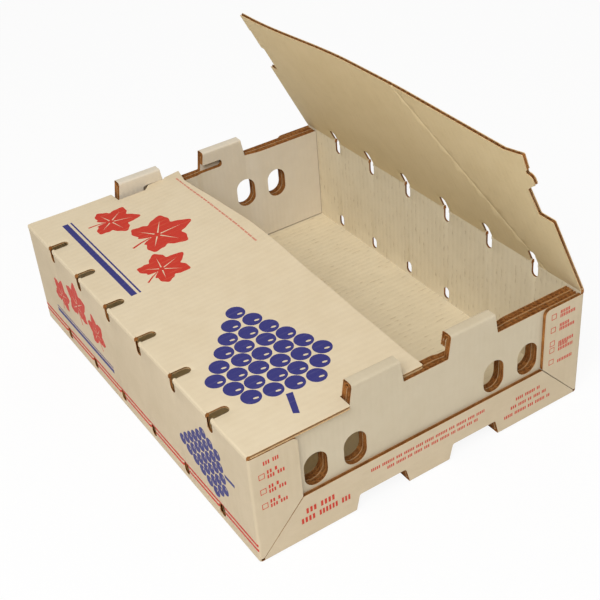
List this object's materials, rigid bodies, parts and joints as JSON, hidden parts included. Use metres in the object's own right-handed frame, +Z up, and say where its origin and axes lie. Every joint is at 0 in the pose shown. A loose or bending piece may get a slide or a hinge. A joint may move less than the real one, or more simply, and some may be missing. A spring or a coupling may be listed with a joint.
{
  "type": "grape box",
  "caption": "Shallow corrugated board produce box with folded end panels, stacking tabs and two lid flaps, one of them open.",
  "frame": {"origin": "centre of the underside", "axes": "+X across the box towards the open flap, +Y along the box towards the far end, +Z up"},
  "size_m": [0.4, 0.5, 0.3098],
  "materials": {
    "wrap_board": "bleached outer liner, matt, with kraft brown cut edges",
    "end_board": "bleached outer liner, matt, with kraft brown cut edges",
    "lid_board": "bleached outer liner with two-colour print, matt"
  },
  "bodies": {
    "box_body": {"body_wrap": "wrap_board", "end_panel_front": "end_board", "end_panel_back": "end_board"},
    "left_lid": {"lid_flap_left": "lid_board"},
    "right_lid": {"lid_flap_right": "lid_board"}
  },
  "joints": [
    {"name": "left_lid_fold", "type": "hinge", "parent": "box_body", "child": "left_lid", "pos_m": [-0.198, 0, 0.132], "axis": [0, -1, 0], "range_deg": [0, 180]},
    {"name": "right_lid_fold", "type": "hinge", "parent": "box_body", "child": "right_lid", "pos_m": [0.198, 0, 0.132], "axis": [0, 1, 0], "range_deg": [-63.5, 116.5]}
  ]
}
